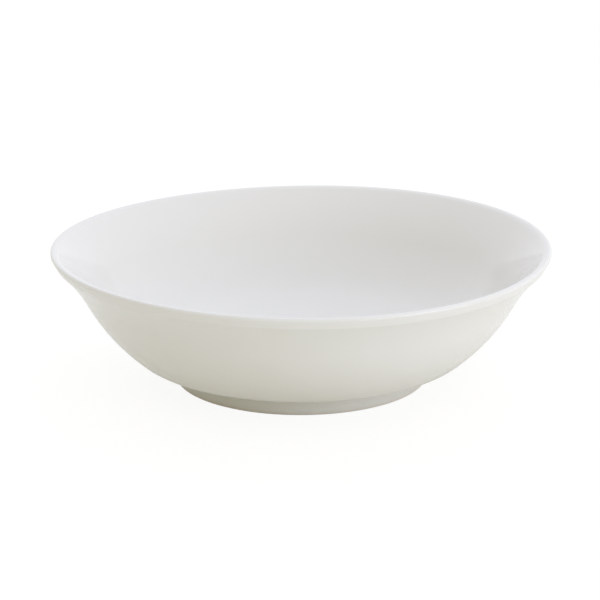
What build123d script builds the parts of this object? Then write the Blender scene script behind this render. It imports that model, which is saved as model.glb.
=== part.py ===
from build123d import *

import os
from math import atan2, cos, degrees, radians, sin, tan

# A flared serving bowl in glazed porcelain, with a rolled lip and a foot ring.
#
# Lengths are millimetres. The bowl is round about Z, its origin is the centre of the circle that it
# stands on, and its half section lies in the XZ plane. Sizes are those of the fired body, and the
# glaze lies on top of them. Angles are degrees off vertical. The slope of the section says where its
# surface faces: 0 straight out, 90 straight down and -90 straight up.

# Rim and wall
rim_diameter = 229.5     # across the lip
wall_thickness = 3.8     # parallel from the lip down to the well
lip_inside = 4.0         # rolls the inside of the rim up to the top of the lip
lip_round = 0.9          # rounds the top of the lip into its outer face
lip_face_angle = 28.0    # of that outer face
lip_edge = 1.25          # rounds the outer face into the flare
lip_angle = 46.46        # of the flare where it meets the lip
flare_radius = 66.6      # hollow of the flare, on the outside
wall_angle = 29.0        # of the steepest stretch, between flare and belly
wall_run = 2.3           # length of that straight stretch
belly_radius = 87.75
belly_angle = 50.5       # where the belly turns into the heel
heel_radius = 18.0       # rolls the belly round to the level underside

# Floor
floor_thickness = 4.0    # even, from the dished recess up to the dished inside
recess_angle = 78.0      # of the recess where it meets the cove inside the foot

# Foot ring
foot_height = 10.5       # from the table to the level underside outside the foot
underside_run = 4.8      # level underside between the heel and the cove above the foot
foot_width = 5.0         # across the ring at the table
foot_angle = 4.0         # of both faces, which draw together towards the table
foot_cove = 2.75         # rounds the top of both faces into the underside
foot_edge = 1.2          # rounds both edges of the standing face
joint_drop = 0.8         # from the end of the cove down to the joint of ring and bowl

# Glaze
glaze_thickness = 0.25
bare_band = 0.5          # wiped clean on both faces, above the rounded edges

OVER = 180.0             # turn from the outside of a wall to its inside
LEVEL = 90.0             # slope of a level underside


def facing(slope):
    """Direction that the surface faces where it has this slope."""
    return Vector(cos(radians(slope)), 0, -sin(radians(slope)))


def along(slope):
    """Direction in which the section is followed where it has this slope."""
    return Vector(-sin(radians(slope)), 0, -cos(radians(slope)))


def inside(slope):
    """Slope of the inside of a wall where its outside has this slope."""
    return slope - OVER


class Skin:
    """Surface of the fired body in half section: runs and bends, each tangent to the one before."""

    def __init__(self, start, slope):
        self.at = start
        self.slope = slope
        self.stretches = {}

    def run(self, name, length):
        """Go straight on."""
        points = [(self.at, self.slope), (self.at + along(self.slope) * length, self.slope)]
        self.keep(name, points)

    def bend(self, name, radius, slope):
        """Go round an arc to a new slope: bulging where the slope grows, hollow where it drops."""
        side = 1 if slope > self.slope else -1
        centre = self.at - facing(self.slope) * radius * side
        slopes = (self.slope, (self.slope + slope) / 2, slope)
        self.keep(name, [(centre + facing(each) * radius * side, each) for each in slopes])

    def keep(self, name, points):
        self.stretches[name] = points
        self.at, self.slope = points[-1]

    def edges(self, first, last, lift=0.0, back=False):
        """Edges of the named stretches, lifted off the body by a coat's thickness, or followed back."""
        names = list(self.stretches)
        made = []
        for name in names[names.index(first):names.index(last) + 1]:
            points = [point + facing(slope) * lift for point, slope in self.stretches[name]]
            if back:
                points.reverse()
            if len(points) == 2:
                made.append(Edge.make_line(*points))
            else:
                made.append(Edge.make_three_point_arc(*points))
        if back:
            made.reverse()
        return made


def lip_face_length():
    """Length of the lip's outer face, between roundings that together fill the wall's thickness."""
    inner_share = lip_inside - (lip_inside - lip_round) * sin(radians(lip_angle))
    across = wall_thickness - inner_share - lip_edge
    turn = radians(lip_angle - lip_face_angle)
    return (across - (lip_round - lip_edge) * cos(turn)) / sin(turn)


def lip_drop():
    """From the centre of the lip's round top to that of its lower edge."""
    step = facing(lip_face_angle) * (lip_round - lip_edge)
    return step + along(lip_face_angle) * lip_face_length()


def lip_level():
    """Height of the top of the lip, which the arcs below it add up to."""
    centre = lip_drop() + facing(lip_angle) * (lip_edge + flare_radius)
    centre += along(wall_angle) * wall_run - facing(wall_angle) * (flare_radius + belly_radius)
    centre += facing(belly_angle) * (belly_radius - heel_radius)
    return foot_height + heel_radius + lip_round - centre.Z


def trace_outside():
    """Follow the outside from the top of the lip down to where the foot begins."""
    skin = Skin(Vector(rim_diameter / 2 - lip_round, 0, lip_level()), -LEVEL)
    skin.bend("outer lip", lip_round, lip_face_angle)
    skin.run("lip face", lip_face_length())
    skin.bend("lip edge", lip_edge, lip_angle)
    skin.bend("flare", flare_radius, wall_angle)
    skin.run("wall", wall_run)
    skin.bend("belly", belly_radius, belly_angle)
    skin.bend("heel", heel_radius, LEVEL)
    skin.run("underside", underside_run)
    return skin


def trace_foot(skin):
    """Follow the foot down, across its standing face and up to the middle of the recess inside it."""
    lean = cos(radians(foot_angle))
    rounding = 1 - sin(radians(foot_angle))
    cove_end = foot_height - foot_cove * rounding
    joint_level = foot_height - foot_cove - joint_drop
    glaze_end = foot_edge * rounding + bare_band
    edge_width = foot_edge * (lean - tan(radians(foot_angle)) * rounding)
    land = (cove_end - joint_level) / lean
    face = (joint_level - glaze_end) / lean
    bare = bare_band / lean

    skin.bend("cove", foot_cove, foot_angle)
    skin.run("land", land)
    skin.run("foot face", face)
    skin.run("bare face", bare)
    skin.bend("edge", foot_edge, LEVEL)
    skin.run("standing face", foot_width - 2 * edge_width)
    skin.bend("inner edge", foot_edge, OVER - foot_angle)
    skin.run("inner bare face", bare)
    skin.run("inner foot face", face)
    skin.run("inner land", land)
    skin.bend("inner cove", foot_cove, recess_angle)
    skin.bend("recess", skin.at.X / cos(radians(recess_angle)), LEVEL)


def trace_inside(outside):
    """Follow the inside from the middle of the floor, which follows the recess, to the top of the lip."""
    recess_radius = outside.stretches["recess"][0][0].X / cos(radians(recess_angle))
    dish_radius = recess_radius - floor_thickness
    dish_centre = outside.at + Vector(0, 0, recess_radius)

    # The well is the arc that touches both the dished floor and the lower end of the inner wall
    wall_end = outside.stretches["belly"][0][0] - facing(wall_angle) * wall_thickness - dish_centre
    well_radius = (wall_end.dot(wall_end) - dish_radius ** 2) / 2
    well_radius /= wall_end.dot(facing(wall_angle)) - dish_radius
    well_centre = wall_end - facing(wall_angle) * well_radius
    well_slope = inside(degrees(atan2(-well_centre.Z, well_centre.X)))

    skin = Skin(outside.at + Vector(0, 0, floor_thickness), -LEVEL)
    skin.bend("floor", dish_radius, well_slope)
    skin.bend("well", well_radius, inside(wall_angle))
    skin.run("inner wall", wall_run)
    skin.bend("inner flare", flare_radius + wall_thickness, inside(lip_angle))
    rolled = (lip_inside - lip_round) * cos(radians(lip_angle))
    skin.run("inner rim", lip_drop().dot(along(lip_angle)) - rolled)
    skin.bend("inner lip", lip_inside, -LEVEL)
    return skin


def trace_bowl():
    """Follow the whole skin: the inside, over the lip, the outside, the foot and the recess."""
    outside = trace_outside()
    trace_foot(outside)
    skin = trace_inside(outside)
    skin.stretches.update(outside.stretches)
    return skin


def turned(*runs):
    """Solid of revolution: runs of edges in the half section, each joined to the next one's start."""
    edges = []
    for run, following in zip(runs, runs[1:] + runs[:1]):
        edges += run
        edges.append(Edge.make_line(run[-1] @ 1, following[0] @ 0))
    return revolve(Face(Wire(edges)), axis=Axis.Z, revolution_arc=360)


def bowl_body(skin):
    """Wall, lip and floor, with the level land under the floor that the foot ring is luted to."""
    return turned(skin.edges("floor", "land"), skin.edges("inner land", "recess"))


def foot_ring(skin):
    """Ring that the bowl stands on, bare at its rounded standing face."""
    return turned(skin.edges("foot face", "inner foot face"))


def coat(skin, first, last):
    """Skin of glaze over the named stretches."""
    return turned(skin.edges(first, last, lift=glaze_thickness), skin.edges(first, last, back=True))


def glaze_coat(skin):
    """Glaze from the floor over the lip and down to the bare band on the outside of the foot."""
    return coat(skin, "floor", "foot face")


def glaze_underside(skin):
    """Glaze inside the foot ring and over the recess."""
    return coat(skin, "inner foot face", "recess")


os.makedirs("parts", exist_ok=True)
outline = trace_bowl()
for make in (bowl_body, foot_ring, glaze_coat, glaze_underside):
    export_step(make(outline), f"parts/{make.__name__}.step")
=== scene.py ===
"""Porcelain serving bowl: glaze, bare foot and fired body, turned around the CAD frame, and a stage."""

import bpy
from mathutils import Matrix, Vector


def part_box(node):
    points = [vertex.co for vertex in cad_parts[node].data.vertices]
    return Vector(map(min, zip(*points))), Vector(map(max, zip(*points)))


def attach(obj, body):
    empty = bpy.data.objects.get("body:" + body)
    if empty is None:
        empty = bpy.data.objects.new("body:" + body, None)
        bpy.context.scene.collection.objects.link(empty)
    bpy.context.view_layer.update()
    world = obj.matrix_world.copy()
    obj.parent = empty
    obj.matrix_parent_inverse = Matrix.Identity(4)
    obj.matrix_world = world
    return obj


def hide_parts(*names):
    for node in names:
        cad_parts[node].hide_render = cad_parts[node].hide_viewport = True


bl_info = {
    "name": "Porcelain Serving Bowl",
    "version": (1, 0, 0),
    "blender": (4, 5, 0),
    "location": "View3D > Sidebar > Bowl",
    "description": "Turns, fires and glazes a flared serving bowl and sets it on a pale stage",
    "category": "Object",
}

from math import atan2, ceil, cos, pi, radians, sin, sqrt, tan

import bpy
from mathutils import Euler, Vector

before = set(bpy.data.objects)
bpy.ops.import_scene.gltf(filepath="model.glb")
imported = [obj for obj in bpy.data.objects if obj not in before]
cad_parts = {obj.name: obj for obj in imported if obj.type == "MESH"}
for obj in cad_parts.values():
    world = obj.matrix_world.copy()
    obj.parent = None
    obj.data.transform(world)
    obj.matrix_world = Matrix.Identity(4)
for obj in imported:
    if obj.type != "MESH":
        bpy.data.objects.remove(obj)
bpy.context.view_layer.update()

MM = 0.001
OVER = radians(180)      # turn from the outside of a wall to its inside
LEVEL = radians(90)      # slope of a level underside
MERGE = 0.001 * MM       # points closer than this are one, at the seam and the poles
CORNER = radians(40)     # a sharper bend between two faces is a corner
BEAD_STEPS = 6           # facets round the edge of a coat
HIGH_PLACES = 2.0        # round the warped rim, with as many low ones between them
WARP_GROWTH = 1.5        # power by which the warp grows from the foot to the rim

body_low, body_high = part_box("bowl_body")
coat_low, coat_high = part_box("glaze_coat")
ring_low, ring_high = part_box("foot_ring")


def colour(code):
    """Linear red, green and blue of an sRGB hex colour."""
    levels = [int(code[i:i + 2], 16) / 255 for i in (1, 3, 5)]
    return [level / 12.92 if level <= 0.04045 else ((level + 0.055) / 1.055) ** 2.4 for level in levels]


def length(name, description, default):
    return bpy.props.FloatProperty(
        name=name, description=description, default=default, min=0.0, precision=5,
        subtype="DISTANCE", unit="LENGTH")


def angle(name, description, degrees):
    return bpy.props.FloatProperty(
        name=name, description=description, default=radians(degrees), precision=4,
        subtype="ANGLE", unit="ROTATION")


def tint(name, description, code):
    return bpy.props.FloatVectorProperty(
        name=name, description=description, default=colour(code), size=3, min=0.0, max=1.0,
        subtype="COLOR")


def amount(name, description, default, most=1.0):
    return bpy.props.FloatProperty(
        name=name, description=description, default=default, min=0.0, max=most, precision=4,
        subtype="FACTOR" if most == 1.0 else "NONE")


class BowlShape(bpy.types.PropertyGroup):
    """Sizes of the fired bowl. Those that the frame gives are read from its nodes' boxes."""

    rim_diameter: length("Rim diameter", "Across the lip of the fired body", body_high.x - body_low.x)
    glaze: length("Glaze", "Thickness of the coat of glaze", coat_high.x - body_high.x)
    foot_height: length("Foot height", "From the table to the level underside", 10.5 * MM)
    joint: length("Foot joint", "Height of the joint of foot ring and bowl", ring_high.z)
    wall: length("Wall", "Thickness of the body from the lip down to the well", 3.8 * MM)
    lip_inside: length("Lip inside", "Rolls the inside of the rim up to the top of the lip", 4.0 * MM)
    lip_round: length("Lip round", "Rounds the top of the lip into its outer face", 0.9 * MM)
    lip_face_angle: angle("Lip face", "Of the outer face of the lip, off vertical", 28.0)
    lip_edge: length("Lip edge", "Rounds the outer face of the lip into the flare", 1.25 * MM)
    lip_angle: angle("Lip angle", "Of the flare where it meets the lip, off vertical", 46.46)
    flare_radius: length("Flare radius", "Hollow of the outside under the lip", 66.6 * MM)
    wall_angle: angle("Wall angle", "Of the steepest stretch, off vertical", 29.0)
    wall_run: length("Wall run", "Length of the steepest stretch", 2.3 * MM)
    belly_radius: length("Belly radius", "Swell of the outside below the wall", 87.75 * MM)
    belly_angle: angle("Belly angle", "Where the belly turns into the heel, off vertical", 50.5)
    heel_radius: length("Heel radius", "Rolls the belly round to the underside", 18.0 * MM)
    floor: length("Floor", "Even thickness, from the dished recess up to the inside", 4.0 * MM)
    recess_angle: angle("Recess angle", "Of the recess where it meets the cove inside the foot", 78.0)
    underside: length("Underside", "Level stretch between heel and foot", 4.8 * MM)
    foot_width: length("Foot width", "Across the ring at the table", 5.0 * MM)
    foot_angle: angle("Foot angle", "Of both faces of the foot, off vertical", 4.0)
    cove: length("Cove", "Rounds the foot into the underside", 2.75 * MM)
    edge: length("Foot edge", "Rounds both edges of the standing face", 1.2 * MM)
    bare_band: length("Bare band", "Wiped clean of glaze above the rounded edges", 0.5 * MM)
    warp: length("Kiln warp", "Rise and fall of the rim, pulled out of level by the firing", 0.84 * MM)
    warp_turn: angle("Kiln warp turn", "Where round the rim the warp is highest, doubled", 61.5)
    segments: bpy.props.IntProperty(
        name="Segments", description="Facets round the bowl", default=256, min=32, max=512)
    facet: length("Facet depth", "Most that a facet of the section may cut off its arc", 0.005 * MM)
    ring_step: length("Ring step", "Most between two rings of a flat stretch", 8.0 * MM)


class BowlFinish(bpy.types.PropertyGroup):
    """Colours and glosses of the glaze and the bare body."""

    glaze_white: tint("Glaze", "Clear glaze over the white body", "#F0F0EC")
    # Darker tint: painted shade on the glaze low down towards the foot, and random patches of thicker
    # glaze
    glaze_pool: tint("Pooled glaze", "Glaze where it ran thick, in the cove above the foot", "#EAEAE2")
    glaze_gloss: amount("Glaze roughness", "Of the fired surface", 0.035)
    bisque: tint("Bare body", "Fired porcelain without glaze", "#E9E5DB")
    bisque_toast: tint("Toasted line", "Flashed line of bare body beside the glaze", "#D9C6A8")
    bisque_rub: tint("Rubbed body", "Grey that the standing face picks up", "#B9B7B1")


class BowlStage(bpy.types.PropertyGroup):
    """Floor, lamps and camera."""

    floor_colour: tint("Floor", "Pale floor, as it lights the bowl from below", "#F1F0E4")
    floor_shade: amount("Floor shade", "Share of real light in the floor that is seen", 0.15)
    floor_white: amount("Floor white", "Brightness of the rest of the floor that is seen", 1.06, 2.0)
    mirrored_shade: amount(
        "Mirrored floor shade", "Share of real light in the floor that the glaze mirrors", 0.7)
    fill: amount("Fill", "Even light from the surroundings", 0.567, 4.0)
    fill_colour: tint("Fill colour", "Of the surroundings", "#FFF5E2")
    overhead: amount("Overhead", "Soft light from the ceiling", 0.52, 4.0)
    overhead_colour: tint("Overhead colour", "Of the light from the ceiling", "#C8DEFF")
    back: amount("Back light", "Soft light from behind and above", 1.23, 4.0)
    back_colour: tint("Back light colour", "Of the light from behind and above", "#C6D2FF")
    view_distance: length("Camera distance", "From the centre of the rim", 1.0631)
    view_height: angle("Camera height", "Of the camera above the rim, seen from its centre", 15.42)
    view_drop: angle("Camera drop", "Of the optical axis below the centre of the rim", 1.382)
    view_swing: angle("Camera swing", "Of the optical axis beside the centre of the rim", 0.03)
    view_roll: angle("Camera roll", "Of the camera about its optical axis", -0.21)
    lens: bpy.props.FloatProperty(
        name="Lens", description="Focal length on a 36 mm wide sensor, in millimetres", default=138.28)


def facing(slope):
    """Direction that the surface faces in the half section: 0 is straight out and LEVEL is down."""
    return Vector((cos(slope), -sin(slope)))


def along(slope):
    """Direction in which the section is followed where it has this slope."""
    return Vector((-sin(slope), -cos(slope)))


class Section:
    """Half section of the fired body: runs and bends, each tangent to the one before."""

    def __init__(self, start, slope, facet, ring_step):
        self.stations = [(start, slope)]
        self.spans = {}
        self.facet = facet
        self.ring_step = ring_step

    def run(self, name, distance):
        """Go straight on."""
        start, slope = self.stations[-1]
        steps = max(1, ceil(distance / self.ring_step))
        way = along(slope)
        self.keep(name, [(start + way * distance * i / steps, slope) for i in range(1, steps + 1)])

    def bend(self, name, radius, slope):
        """Go round an arc to a new slope: bulging where the slope grows, hollow where it drops."""
        start, first = self.stations[-1]
        side = 1 if slope > first else -1
        centre = start - facing(first) * radius * side
        steps = ceil(abs(slope - first) / sqrt(8 * self.facet / radius))
        slopes = [first + (slope - first) * i / steps for i in range(1, steps + 1)]
        self.keep(name, [(centre + facing(each) * radius * side, each) for each in slopes])

    def keep(self, name, stations):
        self.spans[name] = (len(self.stations) - 1, len(self.stations) - 1 + len(stations))
        self.stations += stations

    def end(self, name):
        """Where a stretch ends."""
        return self.stations[self.spans[name][1]][0]

    def join(self, other):
        """Go on along another section, which starts where this one ends."""
        passed = len(self.stations) - 1
        for name, (begin, end) in other.spans.items():
            self.spans[name] = (begin + passed, end + passed)
        self.stations += other.stations[1:]

    def points(self, first, last, lift=0.0):
        """Points of the named stretches, lifted off the body by a coat's thickness."""
        begin, end = self.spans[first][0], self.spans[last][1]
        return [point + facing(slope) * lift for point, slope in self.stations[begin:end + 1]]

    def bead(self, name, thickness, onward):
        """Rounded edge of a coat at the start or end of a stretch, from its surface to the body."""
        point, slope = self.stations[self.spans[name][1 if onward else 0]]
        middle = point + facing(slope) * thickness / 2
        way = along(slope) * (1 if onward else -1)
        turns = [pi * i / BEAD_STEPS for i in range(1, BEAD_STEPS)]
        return [
            middle + (facing(slope) * cos(turn) + way * sin(turn)) * thickness / 2 for turn in turns]


def lip_face_length(shape):
    """Length of the lip's outer face, between roundings that together fill the wall's thickness."""
    inside = shape.lip_inside - (shape.lip_inside - shape.lip_round) * sin(shape.lip_angle)
    across = shape.wall - inside - shape.lip_edge
    turn = shape.lip_angle - shape.lip_face_angle
    return (across - (shape.lip_round - shape.lip_edge) * cos(turn)) / sin(turn)


def lip_drop(shape):
    """From the centre of the lip's round top to that of its lower edge."""
    step = facing(shape.lip_face_angle) * (shape.lip_round - shape.lip_edge)
    return step + along(shape.lip_face_angle) * lip_face_length(shape)


def lip_level(shape):
    """Height of the top of the lip, which the arcs below it add up to."""
    centre = lip_drop(shape) + facing(shape.lip_angle) * (shape.lip_edge + shape.flare_radius)
    centre -= facing(shape.wall_angle) * (shape.flare_radius + shape.belly_radius)
    centre += along(shape.wall_angle) * shape.wall_run
    centre += facing(shape.belly_angle) * (shape.belly_radius - shape.heel_radius)
    return shape.foot_height + shape.heel_radius + shape.lip_round - centre.y


def trace_outside(shape):
    """Follow the outside from the top of the lip, down over the foot, to the middle of the recess."""
    start = Vector((shape.rim_diameter / 2 - shape.lip_round, lip_level(shape)))
    skin = Section(start, -LEVEL, shape.facet, shape.ring_step)
    skin.bend("outer lip", shape.lip_round, shape.lip_face_angle)
    skin.run("lip face", lip_face_length(shape))
    skin.bend("lip edge", shape.lip_edge, shape.lip_angle)
    skin.bend("flare", shape.flare_radius, shape.wall_angle)
    skin.run("wall", shape.wall_run)
    skin.bend("belly", shape.belly_radius, shape.belly_angle)
    skin.bend("heel", shape.heel_radius, LEVEL)
    skin.run("underside", shape.underside)

    lean = cos(shape.foot_angle)
    rounding = 1 - sin(shape.foot_angle)
    glaze_end = shape.edge * rounding + shape.bare_band
    edge_width = shape.edge * (lean - tan(shape.foot_angle) * rounding)
    land = (shape.foot_height - shape.cove * rounding - shape.joint) / lean
    face = (shape.joint - glaze_end) / lean
    skin.bend("cove", shape.cove, shape.foot_angle)
    skin.run("land", land)
    skin.run("foot face", face)
    skin.run("bare face", shape.bare_band / lean)
    skin.bend("edge", shape.edge, LEVEL)
    skin.run("standing face", shape.foot_width - 2 * edge_width)
    skin.bend("inner edge", shape.edge, OVER - shape.foot_angle)
    skin.run("inner bare face", shape.bare_band / lean)
    skin.run("inner foot face", face)
    skin.run("inner land", land)
    skin.bend("inner cove", shape.cove, shape.recess_angle)
    skin.bend("recess", skin.end("inner cove").x / cos(shape.recess_angle), LEVEL)
    return skin


def trace_inside(shape, outside):
    """Follow the inside from the middle of the floor, dished like the recess, to the top of the lip."""
    middle = outside.end("recess")
    recess_radius = outside.end("inner cove").x / cos(shape.recess_angle)
    dish_radius = recess_radius - shape.floor
    dish_centre = middle + Vector((0, recess_radius))

    # The well is the arc that touches both the dished floor and the lower end of the inner wall
    wall_end = outside.end("wall") - facing(shape.wall_angle) * shape.wall - dish_centre
    well_radius = (wall_end.dot(wall_end) - dish_radius ** 2) / 2
    well_radius /= wall_end.dot(facing(shape.wall_angle)) - dish_radius
    well_centre = wall_end - facing(shape.wall_angle) * well_radius

    skin = Section(middle + Vector((0, shape.floor)), -LEVEL, shape.facet, shape.ring_step)
    skin.bend("floor", dish_radius, atan2(-well_centre.y, well_centre.x) - OVER)
    skin.bend("well", well_radius, shape.wall_angle - OVER)
    skin.run("inner wall", shape.wall_run)
    skin.bend("inner flare", shape.flare_radius + shape.wall, shape.lip_angle - OVER)
    rolled = (shape.lip_inside - shape.lip_round) * cos(shape.lip_angle)
    skin.run("inner rim", lip_drop(shape).dot(along(shape.lip_angle)) - rolled)
    skin.bend("inner lip", shape.lip_inside, -LEVEL)
    return skin


def trace_section(shape):
    """Follow the whole skin: the inside, over the lip, the outside, the foot and the recess."""
    outside = trace_outside(shape)
    skin = trace_inside(shape, outside)
    skin.join(outside)
    return skin


def add(tree, kind, inputs=None, **settings):
    """Add a node with its settings, and set or link its inputs, which go by name or number."""
    node = tree.nodes.new(kind)
    for name, value in settings.items():
        setattr(node, name, value)
    for key, value in (inputs or {}).items():
        if isinstance(value, bpy.types.NodeSocket):
            tree.links.new(value, node.inputs[key])
        else:
            node.inputs[key].default_value = value
    return node


def wheel_tree():
    """Geometry Nodes tree that turns an outline about Z into a closed, kiln-warped piece."""
    tree = bpy.data.node_groups.new("Turned on a wheel", "GeometryNodeTree")
    sockets = {
        "Outline": "NodeSocketGeometry", "Segments": "NodeSocketInt", "Warp": "NodeSocketFloat",
        "Warp Turn": "NodeSocketFloat", "Still Radius": "NodeSocketFloat",
        "Rim Radius": "NodeSocketFloat", "Finish": "NodeSocketMaterial"}
    for name, kind in sockets.items():
        tree.interface.new_socket(name, in_out="INPUT", socket_type=kind)
    tree.interface.new_socket("Piece", in_out="OUTPUT", socket_type="NodeSocketGeometry")
    given = add(tree, "NodeGroupInput").outputs
    here = add(tree, "GeometryNodeInputPosition").outputs[0]

    # A flat grid, one column for each facet round the bowl and one row for each point of the outline
    count = add(tree, "GeometryNodeAttributeDomainSize", {
        "Geometry": given["Outline"]}).outputs["Point Count"]
    columns = add(tree, "ShaderNodeMath", {0: given["Segments"], 1: 1.0}).outputs[0]
    grid = add(tree, "GeometryNodeMeshGrid", {
        "Size X": 1.0, "Size Y": 1.0, "Vertices X": columns, "Vertices Y": count}).outputs["Mesh"]
    place = add(tree, "ShaderNodeSeparateXYZ", {0: here}).outputs
    turn = add(tree, "ShaderNodeMapRange", {
        "Value": place["X"], "From Min": -0.5, "From Max": 0.5, "To Max": 2 * pi},
        clamp=False).outputs[0]
    last = add(tree, "ShaderNodeMath", {0: count, 1: 1.0}, operation="SUBTRACT").outputs[0]
    row = add(tree, "ShaderNodeMapRange", {
        "Value": place["Y"], "From Min": -0.5, "From Max": 0.5, "To Max": last},
        clamp=False).outputs[0]
    row = add(tree, "FunctionNodeFloatToInt", {0: row}, rounding_mode="ROUND").outputs[0]
    sample = add(tree, "GeometryNodeSampleIndex", {
        "Geometry": given["Outline"], "Value": here, "Index": row},
        data_type="FLOAT_VECTOR").outputs[0]
    outline = add(tree, "ShaderNodeSeparateXYZ", {0: sample}).outputs

    # The rim's high and low places, fading out towards the foot
    share = add(tree, "ShaderNodeMapRange", {
        "Value": outline["X"], "From Min": given["Still Radius"],
        "From Max": given["Rim Radius"]}).outputs[0]
    share = add(tree, "ShaderNodeMath", {0: share, 1: WARP_GROWTH}, operation="POWER").outputs[0]
    swing = add(tree, "ShaderNodeMath", {0: turn, 1: HIGH_PLACES}, operation="MULTIPLY").outputs[0]
    swing = add(tree, "ShaderNodeMath", {
        0: swing, 1: given["Warp Turn"]}, operation="SUBTRACT").outputs[0]
    swing = add(tree, "ShaderNodeMath", {0: swing}, operation="COSINE").outputs[0]
    rise = add(tree, "ShaderNodeMath", {0: swing, 1: share}, operation="MULTIPLY").outputs[0]
    height = add(tree, "ShaderNodeMath", {
        0: rise, 1: given["Warp"], 2: outline["Z"]}, operation="MULTIPLY_ADD").outputs[0]

    point = add(tree, "ShaderNodeCombineXYZ", {"X": outline["X"], "Z": height}).outputs[0]
    point = add(tree, "ShaderNodeVectorRotate", {
        "Vector": point, "Angle": turn}, rotation_type="Z_AXIS").outputs[0]
    piece = add(tree, "GeometryNodeSetPosition", {"Geometry": grid, "Position": point}).outputs[0]
    piece = add(tree, "GeometryNodeMergeByDistance", {
        "Geometry": piece, "Distance": MERGE}).outputs[0]
    piece = add(tree, "GeometryNodeFlipFaces", {"Mesh": piece}).outputs[0]
    piece = add(tree, "GeometryNodeSetShadeSmooth", {"Geometry": piece}).outputs[0]
    corner = add(tree, "GeometryNodeInputMeshEdgeAngle").outputs["Unsigned Angle"]
    corner = add(tree, "FunctionNodeCompare", {
        "A": corner, "B": CORNER}, operation="GREATER_THAN").outputs[0]
    piece = add(tree, "GeometryNodeSetShadeSmooth", {
        "Geometry": piece, "Selection": corner, "Shade Smooth": False}, domain="EDGE").outputs[0]
    piece = add(tree, "GeometryNodeRealizeInstances", {"Geometry": piece}).outputs[0]
    piece = add(tree, "GeometryNodeSetMaterial", {
        "Geometry": piece, "Material": given["Finish"]}).outputs[0]
    add(tree, "NodeGroupOutput", {0: piece})
    return tree


def turn_piece(name, outline, finish, node):
    """Turn an outline into a plain mesh, which rides on the bowl and stands for its CAD node."""
    shape = bpy.context.scene.bowl_shape
    mesh = bpy.data.meshes.new(name + "_outline")
    edges = [(i, i + 1) for i in range(len(outline) - 1)]
    mesh.from_pydata([(point.x, 0, point.y) for point in outline], edges, [])
    piece = bpy.data.objects.new(name, mesh)
    bpy.context.scene.collection.objects.link(piece)

    tree = bpy.data.node_groups.get("Turned on a wheel") or wheel_tree()
    wheel = piece.modifiers.new("Wheel", "NODES")
    wheel.node_group = tree
    values = {
        "Segments": shape.segments, "Warp": shape.warp, "Warp Turn": shape.warp_turn,
        "Still Radius": ring_high.x, "Rim Radius": shape.rim_diameter / 2, "Finish": finish}
    for socket in tree.interface.items_tree:
        if socket.name in values:
            wheel[socket.identifier] = values[socket.name]

    depsgraph = bpy.context.evaluated_depsgraph_get()
    turned = bpy.data.meshes.new_from_object(piece.evaluated_get(depsgraph))
    if not turned.polygons:
        raise RuntimeError(name + " wasn't turned: its outline gave no faces")
    piece.modifiers.remove(wheel)
    piece.data = turned
    turned.name = name
    bpy.data.meshes.remove(mesh)
    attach(piece, "root")
    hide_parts(node)


def new_material(name):
    """Empty node-based material and its tree."""
    material = bpy.data.materials.new(name)
    material.use_nodes = True
    material.node_tree.nodes.clear()
    return material, material.node_tree


def glazed_porcelain():
    """Clear feldspathic glaze, fired glossy over the white body.

    It gives a mirror-like skin over a soft white, with slow swells left by the running glaze, faint
    rings left by the shaping, a darker, creamier white painted on as shade low down towards the foot,
    and random patches of slightly thicker glaze in that same tint.
    """
    shade_starts = 11.5 * MM      # height below which the glaze is painted darker, as shade towards the foot
    shade_is_full = 8 * MM
    drift_size = 45 * MM         # patches of slightly thicker glaze
    most_drift = 0.12
    swell_size = 9 * MM
    swell_depth = 0.004 * MM
    ring_pitch = 5 * MM
    ring_depth = 0.0015 * MM
    wave_period = 0.314          # of a wave texture with a scale of 1

    finish = bpy.context.scene.bowl_finish
    material, tree = new_material("Glazed porcelain")
    here = add(tree, "ShaderNodeTexCoord").outputs["Object"]

    place = add(tree, "ShaderNodeSeparateXYZ", {0: here}).outputs
    # Painted shade: the glaze is tinted darker from 11.5 mm down to 8 mm above the table, over the heel
    # and foot
    ran = add(tree, "ShaderNodeMapRange", {
        "Value": place["Z"], "From Min": shade_starts, "From Max": shade_is_full},
        interpolation_type="SMOOTHSTEP").outputs[0]
    drift = add(tree, "ShaderNodeTexNoise", {
        "Vector": here, "Scale": 1 / drift_size, "Detail": 2.0}).outputs["Fac"]
    drift = add(tree, "ShaderNodeMapRange", {
        "Value": drift, "From Min": 0.3, "From Max": 0.7, "To Max": most_drift}).outputs[0]
    # Mask of the darker tint: the painted shade low down, or a random patch of thicker glaze, whichever
    # is more
    shade_and_drift = add(tree, "ShaderNodeMath", {0: ran, 1: drift}, operation="MAXIMUM").outputs[0]
    white = add(tree, "ShaderNodeMix", {
        0: shade_and_drift, 6: (*finish.glaze_white, 1), 7: (*finish.glaze_pool, 1)}, data_type="RGBA").outputs[2]

    swell = add(tree, "ShaderNodeTexNoise", {
        "Vector": here, "Scale": 1 / swell_size, "Detail": 1.0}).outputs["Fac"]
    rings = add(tree, "ShaderNodeTexWave", {
        "Vector": here, "Scale": wave_period / ring_pitch, "Distortion": 1.5, "Detail Scale": 0.5},
        wave_type="RINGS", rings_direction="Z").outputs["Fac"]
    surface = add(tree, "ShaderNodeBump", {
        "Strength": 1.0, "Distance": swell_depth, "Height": swell}).outputs[0]
    surface = add(tree, "ShaderNodeBump", {
        "Strength": 1.0, "Distance": ring_depth, "Height": rings, "Normal": surface}).outputs[0]

    shader = add(tree, "ShaderNodeBsdfPrincipled", {
        "Base Color": white, "Roughness": finish.glaze_gloss, "IOR": 1.52, "Normal": surface}).outputs[0]
    add(tree, "ShaderNodeOutputMaterial", {"Surface": shader})
    return material


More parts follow.
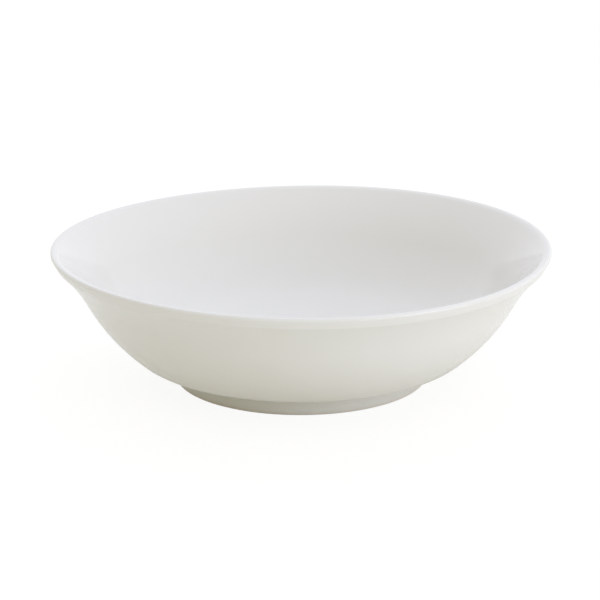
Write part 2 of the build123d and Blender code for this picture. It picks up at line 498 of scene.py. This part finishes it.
def bisque_porcelain():
    """Vitrified porcelain body, wiped clean of glaze and ground smooth where it stands.

    It gives a dry, chalky white with a fine grain, a toasted line beside the glaze and a grey rub on
    the standing face.
    """
    grain_size = 0.3 * MM        # 0.1 mm in the clay, drawn larger so that it shows
    grain_depth = 0.015 * MM
    smudge_size = 6 * MM
    toast_starts = 1.0 * MM      # height above which the body is toasted
    toast_is_full = 1.7 * MM
    rub_height = 0.25 * MM       # height that the rub on the standing face reaches

    finish = bpy.context.scene.bowl_finish
    material, tree = new_material("Bisque porcelain")
    here = add(tree, "ShaderNodeTexCoord").outputs["Object"]

    place = add(tree, "ShaderNodeSeparateXYZ", {0: here}).outputs
    grain = add(tree, "ShaderNodeTexNoise", {
        "Vector": here, "Scale": 1 / grain_size, "Detail": 3.0}).outputs["Fac"]
    smudge = add(tree, "ShaderNodeTexNoise", {
        "Vector": here, "Scale": 1 / smudge_size, "Detail": 3.0}).outputs["Fac"]
    toast = add(tree, "ShaderNodeMapRange", {
        "Value": place["Z"], "From Min": toast_starts, "From Max": toast_is_full, "To Max": 0.7},
        interpolation_type="SMOOTHSTEP").outputs[0]
    tone = add(tree, "ShaderNodeMix", {
        0: toast, 6: (*finish.bisque, 1), 7: (*finish.bisque_toast, 1)}, data_type="RGBA").outputs[2]
    low = add(tree, "ShaderNodeMapRange", {
        "Value": place["Z"], "From Min": rub_height, "From Max": 0.0}).outputs[0]
    rub = add(tree, "ShaderNodeMapRange", {
        "Value": smudge, "From Min": 0.45, "From Max": 0.7, "To Max": 0.6}).outputs[0]
    rub = add(tree, "ShaderNodeMath", {0: rub, 1: low}, operation="MULTIPLY").outputs[0]
    tone = add(tree, "ShaderNodeMix", {
        0: rub, 6: tone, 7: (*finish.bisque_rub, 1)}, data_type="RGBA").outputs[2]
    speckle = add(tree, "ShaderNodeMapRange", {
        "Value": grain, "From Min": 0.35, "From Max": 0.65, "To Min": 0.94, "To Max": 1.03}).outputs[0]
    tone = add(tree, "ShaderNodeMix", {
        0: 1.0, 6: tone, 7: speckle}, data_type="RGBA", blend_type="MULTIPLY").outputs[2]

    rough = add(tree, "ShaderNodeMapRange", {
        "Value": grain, "From Min": 0.3, "From Max": 0.7, "To Min": 0.62, "To Max": 0.85}).outputs[0]
    surface = add(tree, "ShaderNodeBump", {
        "Strength": 1.0, "Distance": grain_depth, "Height": grain}).outputs[0]
    shader = add(tree, "ShaderNodeBsdfPrincipled", {
        "Base Color": tone, "Roughness": rough, "IOR": 1.5, "Normal": surface}).outputs[0]
    add(tree, "ShaderNodeOutputMaterial", {"Surface": shader})
    return material


def finish_of(make):
    """The material that a function makes, made once."""
    name = make.__name__.replace("_", " ").capitalize()
    return bpy.data.materials.get(name) or make()


def seen_white(tree, mirrored=1.0, direct=1.0):
    """Share of plain white in what the camera or a reflection sees: 0 in light that it gives."""
    path = add(tree, "ShaderNodeLightPath").outputs
    passed = add(tree, "ShaderNodeMath", {
        0: path["Is Glossy Ray"], 1: path["Is Transmission Ray"]}, operation="MAXIMUM").outputs[0]
    passed = add(tree, "ShaderNodeMath", {0: passed, 1: mirrored}, operation="MULTIPLY").outputs[0]
    seen = add(tree, "ShaderNodeMath", {
        0: path["Is Camera Ray"], 1: direct}, operation="MULTIPLY").outputs[0]
    return add(tree, "ShaderNodeMath", {0: seen, 1: passed}, operation="MAXIMUM").outputs[0]


def pale_floor():
    """Matt painted board: white where it is seen, cream where it lights the bowl from below."""
    stage = bpy.context.scene.bowl_stage
    material, tree = new_material("Painted board")
    share = seen_white(tree, 1 - stage.mirrored_shade, 1 - stage.floor_shade)
    board = add(tree, "ShaderNodeBsdfDiffuse", {"Color": (*stage.floor_colour, 1)}).outputs[0]
    white = add(tree, "ShaderNodeEmission", {"Strength": stage.floor_white}).outputs[0]
    top = add(tree, "ShaderNodeMixShader", {0: share, 1: board, 2: white}).outputs[0]
    below = add(tree, "ShaderNodeNewGeometry").outputs["Backfacing"]
    clear = add(tree, "ShaderNodeBsdfTransparent").outputs[0]
    board = add(tree, "ShaderNodeMixShader", {0: below, 1: top, 2: clear}).outputs[0]
    add(tree, "ShaderNodeOutputMaterial", {"Surface": board})
    material.cycles.emission_sampling = "NONE"
    return material


class BOWL_OT_fired_body(bpy.types.Operator):
    """Turn the fired body that the glaze lies on."""

    bl_idname = "bowl.fired_body"
    bl_label = "Fired Body"

    def execute(self, context):
        body = trace_section(context.scene.bowl_shape)
        outline = body.points("floor", "land") + body.points("inner land", "recess")
        turn_piece("fired_body", outline, finish_of(bisque_porcelain), "bowl_body")
        return {"FINISHED"}


class BOWL_OT_foot(bpy.types.Operator):
    """Turn the ring that the bowl stands on, bare at its standing face."""

    bl_idname = "bowl.foot"
    bl_label = "Foot Ring"

    def execute(self, context):
        body = trace_section(context.scene.bowl_shape)
        outline = body.points("foot face", "inner foot face")
        turn_piece("foot", outline + outline[:1], finish_of(bisque_porcelain), "foot_ring")
        return {"FINISHED"}


class BOWL_OT_glaze(bpy.types.Operator):
    """Coat the inside, the lip, the outside and the outer face of the foot."""

    bl_idname = "bowl.glaze"
    bl_label = "Glaze"

    def execute(self, context):
        shape = context.scene.bowl_shape
        body = trace_section(shape)
        outline = body.points("floor", "foot face", shape.glaze)
        outline += body.bead("foot face", shape.glaze, onward=True)
        outline += reversed(body.points("floor", "foot face"))
        turn_piece("glaze", outline, finish_of(glazed_porcelain), "glaze_coat")
        return {"FINISHED"}


class BOWL_OT_glaze_below(bpy.types.Operator):
    """Coat the inside of the foot ring and the recess."""

    bl_idname = "bowl.glaze_below"
    bl_label = "Underside Glaze"

    def execute(self, context):
        shape = context.scene.bowl_shape
        body = trace_section(shape)
        outline = list(reversed(body.points("inner foot face", "recess")))
        outline += reversed(body.bead("inner foot face", shape.glaze, onward=False))
        outline += body.points("inner foot face", "recess", shape.glaze)
        turn_piece("glaze_below", outline, finish_of(glazed_porcelain), "glaze_underside")
        return {"FINISHED"}


class BOWL_OT_stage(bpy.types.Operator):
    """Lay the floor, hang the lamps and stand the camera."""

    bl_idname = "bowl.stage"
    bl_label = "Stage"

    def execute(self, context):
        lay_floor()
        surround()
        hang_lamps()
        stand_camera()
        # Light that skims round the inside of the rim is mirrored many times
        context.scene.cycles.glossy_bounces = context.scene.cycles.max_bounces
        return {"FINISHED"}


def lay_floor():
    """Large round floor, a hair below the standing face."""
    sides = 96
    reach = 6.0
    level = -0.02 * MM
    turns = [2 * pi * i / sides for i in range(sides)]
    rim = [(reach * cos(turn), reach * sin(turn), level) for turn in turns]
    mesh = bpy.data.meshes.new("floor")
    mesh.from_pydata(rim, [], [list(range(sides))])
    mesh.materials.append(pale_floor())
    floor = bpy.data.objects.new("floor", mesh)
    bpy.context.scene.collection.objects.link(floor)


def surround():
    """Even surroundings, brighter overhead and behind, and white where they are seen."""
    narrowness = 4.0      # power by which a glow fades away from its middle
    stage = bpy.context.scene.bowl_stage
    world = bpy.data.worlds.new("Surroundings")
    world.use_nodes = True
    world.cycles.sampling_method = "NONE"
    tree = world.node_tree
    tree.nodes.clear()
    way = add(tree, "ShaderNodeTexCoord").outputs["Generated"]
    light = add(tree, "ShaderNodeBackground", {
        "Color": (*stage.fill_colour, 1), "Strength": stage.fill}).outputs[0]
    glows = (
        (Vector((0, 0, 1)), stage.overhead, stage.overhead_colour),
        (Vector((0, 1, 1)).normalized(), stage.back, stage.back_colour))
    for towards, strength, tone in glows:
        near = add(tree, "ShaderNodeVectorMath", {
            0: way, 1: towards}, operation="DOT_PRODUCT").outputs["Value"]
        near = add(tree, "ShaderNodeMath", {0: near, 1: 0.0}, operation="MAXIMUM").outputs[0]
        near = add(tree, "ShaderNodeMath", {0: near, 1: narrowness}, operation="POWER").outputs[0]
        near = add(tree, "ShaderNodeMath", {0: near, 1: strength}, operation="MULTIPLY").outputs[0]
        glow = add(tree, "ShaderNodeBackground", {"Color": (*tone, 1), "Strength": near}).outputs[0]
        light = add(tree, "ShaderNodeAddShader", {0: light, 1: glow}).outputs[0]
    white = add(tree, "ShaderNodeBackground", {"Strength": 1.0, "Color": (1, 1, 1, 1)}).outputs[0]
    light = add(tree, "ShaderNodeMixShader", {0: seen_white(tree), 1: light, 2: white}).outputs[0]
    add(tree, "ShaderNodeOutputWorld", {"Surface": light})
    bpy.context.scene.world = world


SOFTBOX_WIDTH = 0.8
SOFTBOX_HEIGHT = 0.5
SOFTBOX_DISTANCE = 1.5   # from the middle of the bowl

# Bearing from the right hand towards the back, height above level, power in watts, colour, and whether
# the glaze mirrors it: the side one would leave a stray patch in the far side of the bowl
SOFTBOXES = {
    "key": (-45, 20, 3.6, "#D8E6FF", True),
    "low": (-30, 8, 3.7, "#E2E1FF", True),
    "side": (5, 20, 1.1, "#FFF4D0", False),
}


def hang_lamps():
    """Softboxes aimed at the middle of the bowl."""
    target = Vector((0, 0, body_high.z / 2))
    for name, (bearing, height, power, code, mirrored) in SOFTBOXES.items():
        data = bpy.data.lights.new(name, "AREA")
        data.shape = "RECTANGLE"
        data.size = SOFTBOX_WIDTH
        data.size_y = SOFTBOX_HEIGHT
        data.energy = power
        data.color = colour(code)
        lamp = bpy.data.objects.new(name, data)
        turn = radians(bearing)
        rise = radians(height)
        way = Vector((cos(turn) * cos(rise), sin(turn) * cos(rise), sin(rise)))
        lamp.location = target + way * SOFTBOX_DISTANCE
        lamp.rotation_euler = way.to_track_quat("Z", "Y").to_euler()
        lamp.visible_camera = False
        lamp.visible_glossy = mirrored
        bpy.context.scene.collection.objects.link(lamp)


def stand_camera():
    """Camera in front of the bowl, looking down at it over the near rim."""
    stage = bpy.context.scene.bowl_stage
    data = bpy.data.cameras.new("camera")
    data.lens = stage.lens
    data.sensor_width = 36
    camera = bpy.data.objects.new("camera", data)
    rise = stage.view_height
    back = Vector((0, -cos(rise), sin(rise)))
    camera.location = Vector((0, 0, coat_high.z)) + back * stage.view_distance
    aim = Euler((LEVEL - rise - stage.view_drop, 0, stage.view_swing)).to_matrix()
    roll = Euler((0, 0, stage.view_roll)).to_matrix()
    camera.rotation_euler = (aim @ roll).to_euler()
    bpy.context.scene.collection.objects.link(camera)
    bpy.context.scene.camera = camera


class BOWL_PT_sidebar(bpy.types.Panel):
    """Sizes, finishes and steps of the bowl."""

    bl_idname = "BOWL_PT_sidebar"
    bl_label = "Porcelain Serving Bowl"
    bl_space_type = "VIEW_3D"
    bl_region_type = "UI"
    bl_category = "Bowl"

    def draw(self, context):
        for settings in (context.scene.bowl_shape, context.scene.bowl_finish, context.scene.bowl_stage):
            box = self.layout.box()
            for name in settings.__annotations__:
                box.prop(settings, name)
        for operator in OPERATORS:
            self.layout.operator(operator.bl_idname)


GROUPS = {"bowl_shape": BowlShape, "bowl_finish": BowlFinish, "bowl_stage": BowlStage}
OPERATORS = (BOWL_OT_fired_body, BOWL_OT_foot, BOWL_OT_glaze, BOWL_OT_glaze_below, BOWL_OT_stage)


def register():
    for each in (*GROUPS.values(), *OPERATORS, BOWL_PT_sidebar):
        bpy.utils.register_class(each)
    for name, group in GROUPS.items():
        setattr(bpy.types.Scene, name, bpy.props.PointerProperty(type=group))


def unregister():
    for name in GROUPS:
        delattr(bpy.types.Scene, name)
    for each in reversed((*GROUPS.values(), *OPERATORS, BOWL_PT_sidebar)):
        bpy.utils.unregister_class(each)


def main():
    """Make every piece in order."""
    register()
    for step in (
            bpy.ops.bowl.fired_body, bpy.ops.bowl.foot, bpy.ops.bowl.glaze, bpy.ops.bowl.glaze_below,
            bpy.ops.bowl.stage):
        step()
    bpy.context.scene.view_settings.view_transform = "Standard"


if __name__ == "__main__":
    main()
